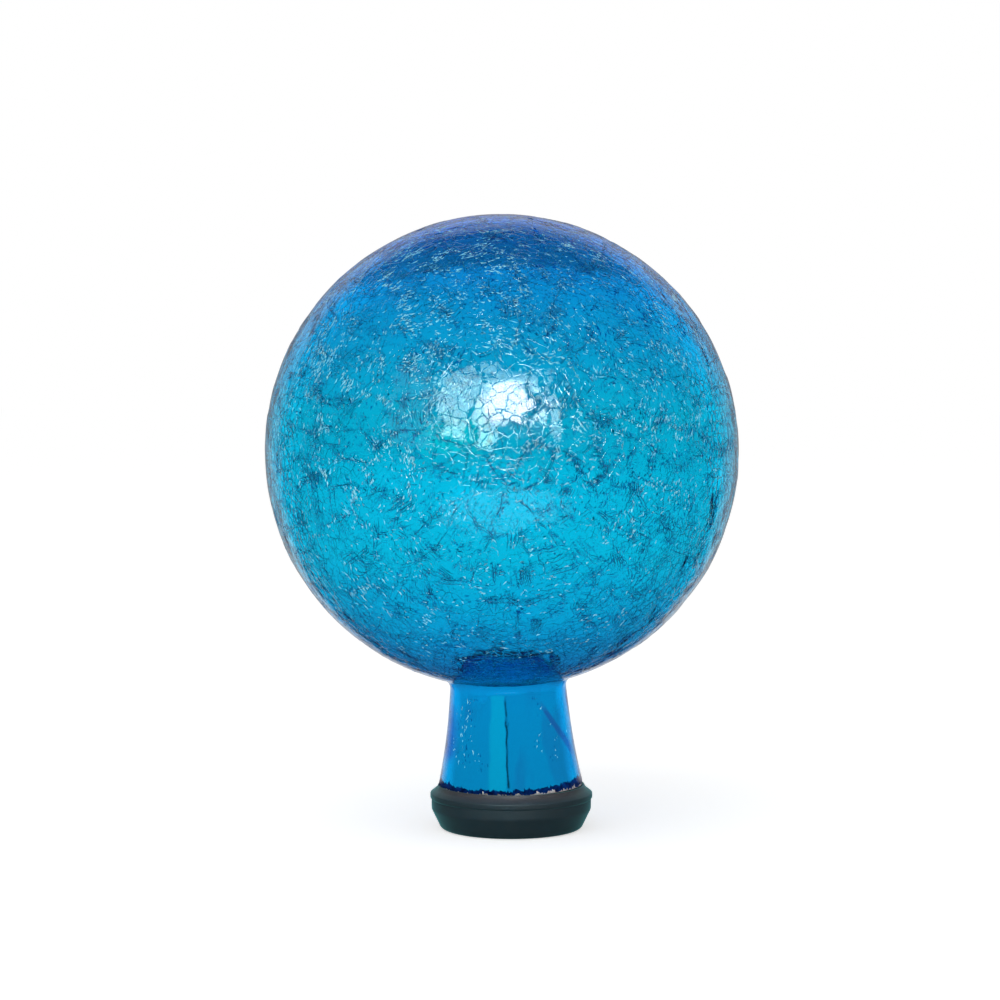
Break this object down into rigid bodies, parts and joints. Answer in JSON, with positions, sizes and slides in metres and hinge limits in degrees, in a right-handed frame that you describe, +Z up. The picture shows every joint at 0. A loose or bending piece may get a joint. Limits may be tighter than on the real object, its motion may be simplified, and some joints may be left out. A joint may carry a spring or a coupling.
{
  "type": "garden gazing ball",
  "caption": "Mirrored blue crackle-glass globe with a flared neck that stands in a flat-footed rubber cap.",
  "frame": {"origin": "centre of the rubber cap's flat foot, on the surface that the ornament stands on", "axes": "+Z up; the picture is taken looking along +Y, with +X to its right; the glass leans 1.5 degrees towards -X in its cap"},
  "size_m": [0.254, 0.254, 0.3305],
  "materials": {
    "crackle_glass": "clear blown glass, crackled all through, fire polished outside",
    "blue_lacquer": "transparent cyan-blue lacquer on the inside of the glass",
    "silver_film": "silvered behind the lacquer",
    "black_rubber": "moulded, satin"
  },
  "bodies": {
    "cap": {"rubber_cap": "black_rubber"},
    "globe": {"glass_globe": "crackle_glass", "tint_lacquer": "blue_lacquer", "silver_lining": "silver_film"}
  },
  "joints": [
    {"name": "cap_pull", "type": "slide", "parent": "cap", "child": "globe", "axis": [-0.0262, 0, 0.9997], "range_m": [0, 0.016]}
  ]
}
